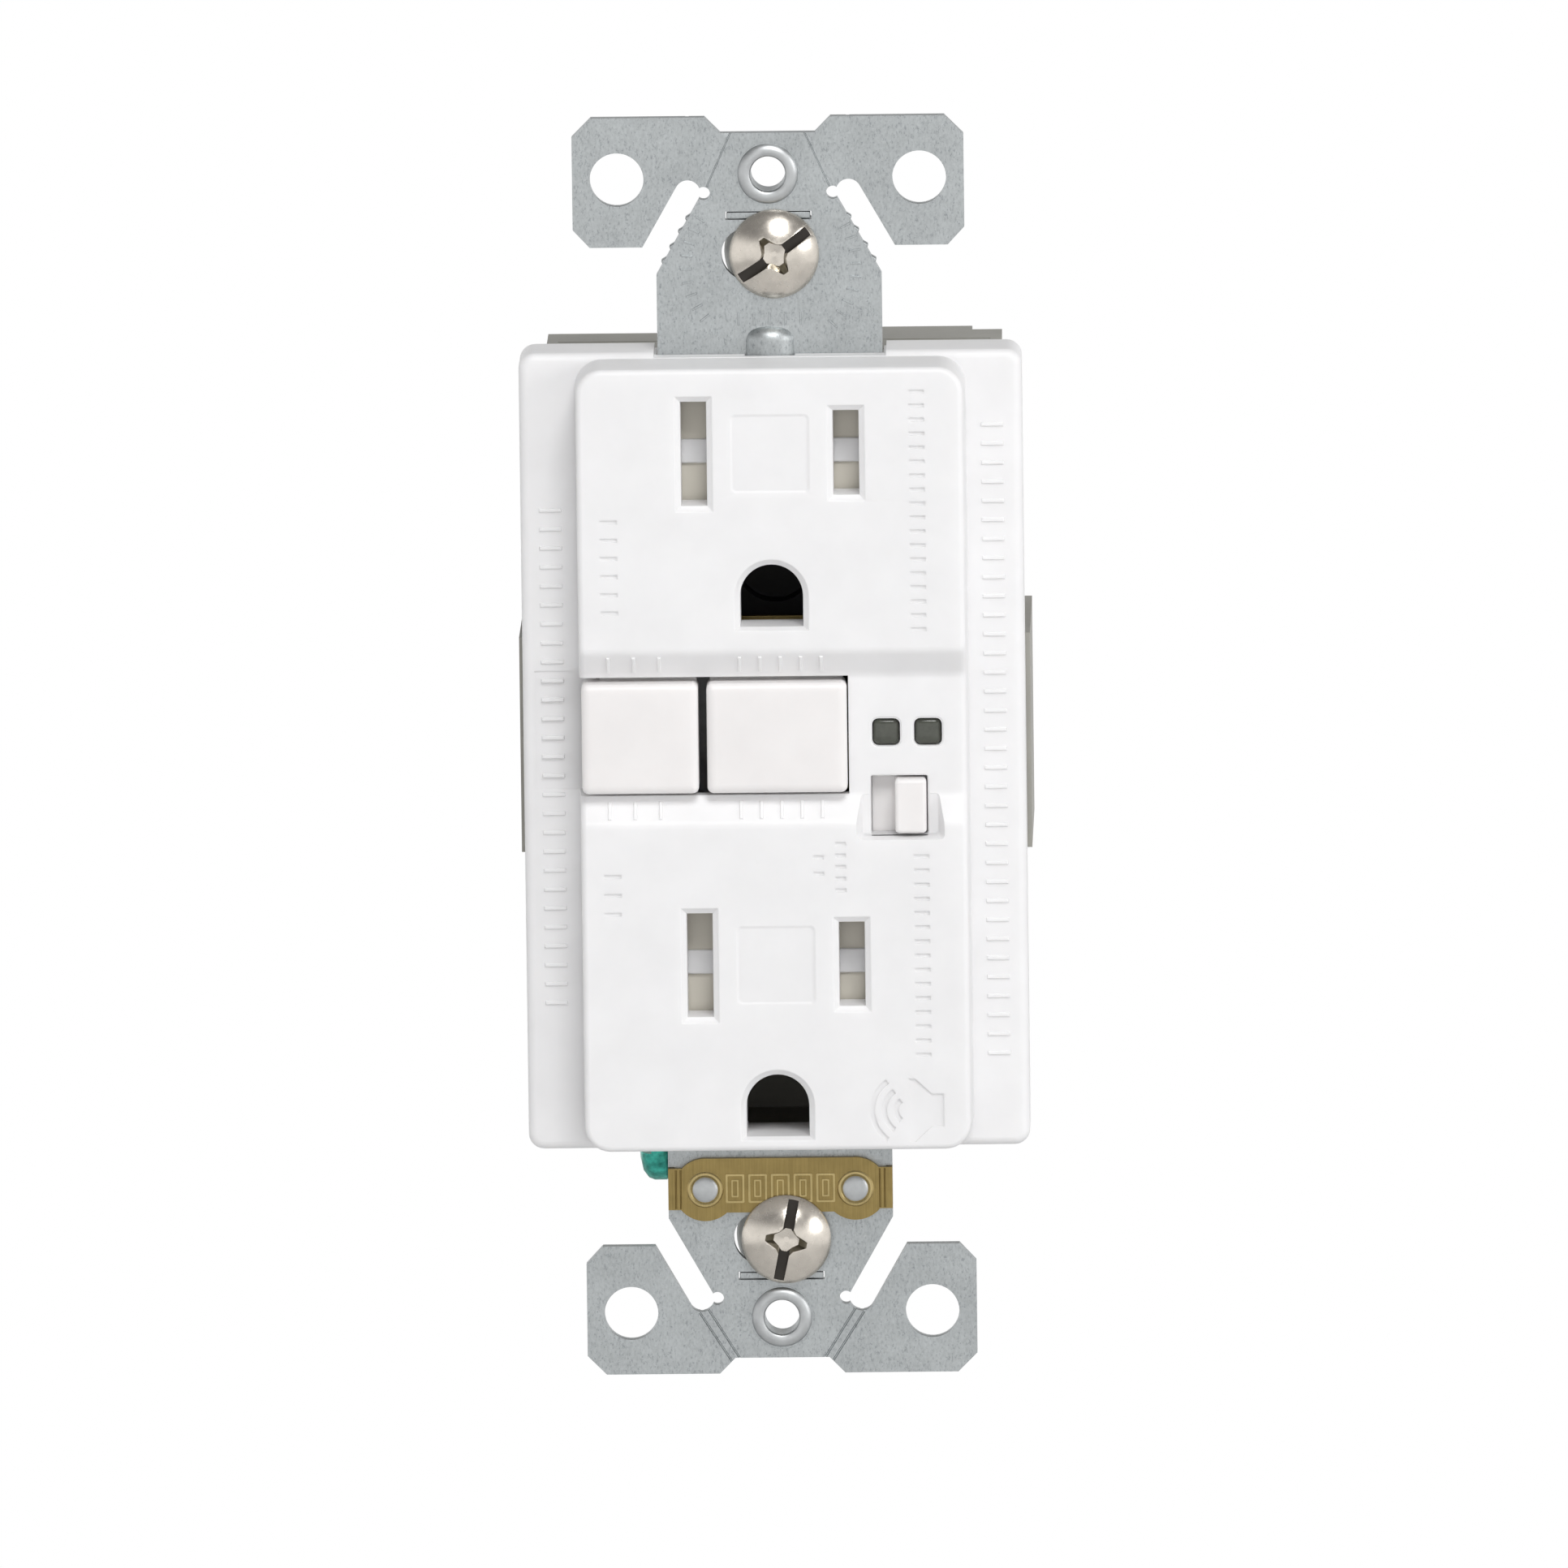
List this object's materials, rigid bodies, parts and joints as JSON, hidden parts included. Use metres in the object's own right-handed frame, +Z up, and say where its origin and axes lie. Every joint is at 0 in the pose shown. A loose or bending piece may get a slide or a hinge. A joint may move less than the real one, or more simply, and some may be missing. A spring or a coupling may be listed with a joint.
{
  "type": "gfci outlet",
  "caption": "Wall receptacle with ground-fault protection, test and reset buttons, alarm switch and sliding shutters on a steel strap.",
  "frame": {"origin": "rear plane of the mounting strap, midway between the two wall-plate screw holes", "axes": "+Z up along the strap, -Y out of the face towards the user, +X to the right of the face"},
  "size_m": [0.0428, 0.0352, 0.1064],
  "materials": {
    "white_plastic": "fine moulded satin, white",
    "button_plastic": "smooth moulded satin, warm white",
    "shutter_plastic": "matt moulded, light grey",
    "grey_plastic": "matt moulded, mid grey",
    "dark_plastic": "matt moulded, black",
    "tan_plastic": "matt moulded, tan",
    "lens_plastic": "glossy tinted light pipe",
    "led_epoxy": "clear tinted epoxy",
    "zinc_steel": "zinc plated with fine speckle",
    "nickel_steel": "nickel plated, softly bright",
    "bright_steel": "bright plated",
    "spring_steel": "drawn wire",
    "brass": "brushed brass with fine grain",
    "green_screw": "dyed green plating",
    "washer_plastic": "matt white",
    "board_laminate": "green solder mask",
    "copper_wire": "enamelled wire",
    "core_coating": "blue epoxy coating",
    "capacitor_can": "sleeved can"
  },
  "bodies": {
    "base": {"front_cover": "white_plastic", "rear_housing": "grey_plastic", "inner_frame": "dark_plastic", "slide_switch_body": "dark_plastic", "transformer_boot": "dark_plastic", "alarm_buzzer": "dark_plastic", "control_chip": "dark_plastic", "solenoid_bobbin": "tan_plastic", "indicator_lens_left": "lens_plastic", "indicator_lens_right": "lens_plastic", "indicator_leds": "led_epoxy", "mounting_strap": "zinc_steel", "housing_screws": "bright_steel", "ground_contact_rivets": "bright_steel", "bonding_clip_rivets": "bright_steel", "load_neutral_plate": "bright_steel", "line_neutral_plate": "bright_steel", "neutral_contact_bar": "bright_steel", "reset_spring": "spring_steel", "upper_shutter_spring": "spring_steel", "lower_shutter_spring": "spring_steel", "plunger_spring": "spring_steel", "bonding_clip": "brass", "ground_contact_upper": "brass", "ground_contact_lower": "brass", "load_hot_plate": "brass", "line_hot_plate": "brass", "hot_contact_bar": "brass", "test_leaf": "brass", "line_conductors": "brass", "circuit_board": "board_laminate", "solenoid_coil": "copper_wire", "neutral_core": "core_coating", "sensing_core": "core_coating", "varistor": "core_coating", "filter_capacitors": "capacitor_can"},
    "test_button": {"test_button": "button_plastic"},
    "reset_button": {"reset_button": "button_plastic", "reset_pin": "nickel_steel"},
    "alarm_slider": {"alarm_slider": "button_plastic"},
    "upper_shutter": {"upper_shutter": "shutter_plastic"},
    "lower_shutter": {"lower_shutter": "shutter_plastic"},
    "ground_screw": {"ground_screw": "green_screw"},
    "upper_retainer": {"screw_retainer_upper": "washer_plastic"},
    "lower_retainer": {"screw_retainer_lower": "washer_plastic"},
    "upper_mounting_screw": {"mounting_screw_upper": "nickel_steel"},
    "lower_mounting_screw": {"mounting_screw_lower": "nickel_steel"},
    "contact_lifter": {"contact_lifter": "tan_plastic"},
    "hot_arm": {"hot_contact_arm": "brass"},
    "neutral_arm": {"neutral_contact_arm": "brass"},
    "plunger": {"plunger": "bright_steel"},
    "latch_plate": {"latch_plate": "bright_steel"},
    "load_hot_clamp": {"load_hot_clamp": "brass"},
    "load_hot_screw": {"load_hot_screw": "brass"},
    "load_neutral_clamp": {"load_neutral_clamp": "bright_steel"},
    "load_neutral_screw": {"load_neutral_screw": "bright_steel"},
    "line_hot_clamp": {"line_hot_clamp": "brass"},
    "line_hot_screw": {"line_hot_screw": "brass"},
    "line_neutral_clamp": {"line_neutral_clamp": "bright_steel"},
    "line_neutral_screw": {"line_neutral_screw": "bright_steel"}
  },
  "joints": [
    {"name": "test_press", "type": "slide", "parent": "base", "child": "test_button", "axis": [0, 1, 0], "range_m": [0, 0.0015], "stiffness_N_per_m": 400, "springref_m": -0.001},
    {"name": "reset_press", "type": "slide", "parent": "base", "child": "reset_button", "axis": [0, 1, 0], "range_m": [0, 0.002], "stiffness_N_per_m": 400, "springref_m": -0.001, "deforming": ["reset_spring"]},
    {"name": "alarm_slide", "type": "slide", "parent": "base", "child": "alarm_slider", "axis": [-1, 0, 0], "range_m": [0, 0.0019]},
    {"name": "upper_shutter_slide", "type": "slide", "parent": "base", "child": "upper_shutter", "axis": [1, 0, 0], "range_m": [0, 0.0028], "stiffness_N_per_m": 50, "springref_m": -0.001, "deforming": ["upper_shutter_spring"]},
    {"name": "lower_shutter_slide", "type": "slide", "parent": "base", "child": "lower_shutter", "axis": [1, 0, 0], "range_m": [0, 0.0028], "stiffness_N_per_m": 50, "springref_m": -0.001, "deforming": ["lower_shutter_spring"]},
    {"name": "load_hot_clamp_slide", "type": "slide", "parent": "base", "child": "load_hot_clamp", "axis": [1, 0, 0], "range_m": [0, 0.00238]},
    {"name": "load_hot_screw_turn", "type": "hinge", "parent": "load_hot_clamp", "child": "load_hot_screw", "pos_m": [0.0182, 0.014, 0.0182], "axis": [1, 0, 0], "range_deg": [0, 1080]},
    {"name": "load_neutral_clamp_slide", "type": "slide", "parent": "base", "child": "load_neutral_clamp", "axis": [-1, 0, 0], "range_m": [0, 0.00238]},
    {"name": "load_neutral_screw_turn", "type": "hinge", "parent": "load_neutral_clamp", "child": "load_neutral_screw", "pos_m": [-0.0182, 0.014, 0.0182], "axis": [-1, 0, 0], "range_deg": [0, 1080]},
    {"name": "line_hot_clamp_slide", "type": "slide", "parent": "base", "child": "line_hot_clamp", "axis": [1, 0, 0], "range_m": [0, 0.00238]},
    {"name": "line_hot_screw_turn", "type": "hinge", "parent": "line_hot_clamp", "child": "line_hot_screw", "pos_m": [0.0182, 0.014, -0.0182], "axis": [1, 0, 0], "range_deg": [0, 1080]},
    {"name": "line_neutral_clamp_slide", "type": "slide", "parent": "base", "child": "line_neutral_clamp", "axis": [-1, 0, 0], "range_m": [0, 0.00238]},
    {"name": "line_neutral_screw_turn", "type": "hinge", "parent": "line_neutral_clamp", "child": "line_neutral_screw", "pos_m": [-0.0182, 0.014, -0.0182], "axis": [-1, 0, 0], "range_deg": [0, 1080]},
    {"name": "ground_screw_back_off", "type": "slide", "parent": "base", "child": "ground_screw", "axis": [-1, 0, 0], "range_m": [0, 0.0024]},
    {"name": "upper_screw_float", "type": "slide", "parent": "base", "child": "upper_retainer", "axis": [0, -1, 0], "range_m": [0, 0.0006]},
    {"name": "upper_screw_turn", "type": "hinge", "parent": "upper_retainer", "child": "upper_mounting_screw", "pos_m": [0.00045, 0, 0.04167], "axis": [0, 1, 0], "continuous": true},
    {"name": "lower_screw_float", "type": "slide", "parent": "base", "child": "lower_retainer", "axis": [0, -1, 0], "range_m": [0, 0.0006]},
    {"name": "lower_screw_turn", "type": "hinge", "parent": "lower_retainer", "child": "lower_mounting_screw", "pos_m": [0.00045, 0, -0.04167], "axis": [0, 1, 0], "continuous": true},
    {"name": "contact_lift", "type": "slide", "parent": "base", "child": "contact_lifter", "axis": [0, -1, 0], "range_m": [0, 0.0012], "stiffness_N_per_m": 50, "springref_m": -0.001},
    {"name": "hot_arm_swing", "type": "hinge", "parent": "base", "child": "hot_arm", "pos_m": [0.0066, 0.0132, -0.013], "axis": [1, 0, 0], "range_deg": [0, 5]},
    {"name": "neutral_arm_swing", "type": "hinge", "parent": "base", "child": "neutral_arm", "pos_m": [-0.0066, 0.0132, -0.013], "axis": [1, 0, 0], "range_deg": [0, 5]},
    {"name": "plunger_strike", "type": "slide", "parent": "base", "child": "plunger", "axis": [0, 0, -1], "range_m": [0, 0.0016], "stiffness_N_per_m": 50, "springref_m": -0.002, "deforming": ["plunger_spring"]},
    {"name": "latch_slide", "type": "slide", "parent": "base", "child": "latch_plate", "axis": [0, 0, -1], "range_m": [0, 0.0016]}
  ],
  "couplings": [
    {"joint": "load_hot_screw_turn", "follows": "load_hot_clamp_slide", "rad_per_m": 7913.3},
    {"joint": "load_neutral_screw_turn", "follows": "load_neutral_clamp_slide", "rad_per_m": 7913.3},
    {"joint": "line_hot_screw_turn", "follows": "line_hot_clamp_slide", "rad_per_m": 7913.3},
    {"joint": "line_neutral_screw_turn", "follows": "line_neutral_clamp_slide", "rad_per_m": 7913.3},
    {"joint": "hot_arm_swing", "follows": "contact_lift", "rad_per_m": 71.4},
    {"joint": "neutral_arm_swing", "follows": "contact_lift", "rad_per_m": 71.4},
    {"joint": "latch_slide", "follows": "plunger_strike", "ratio": 1}
  ]
}
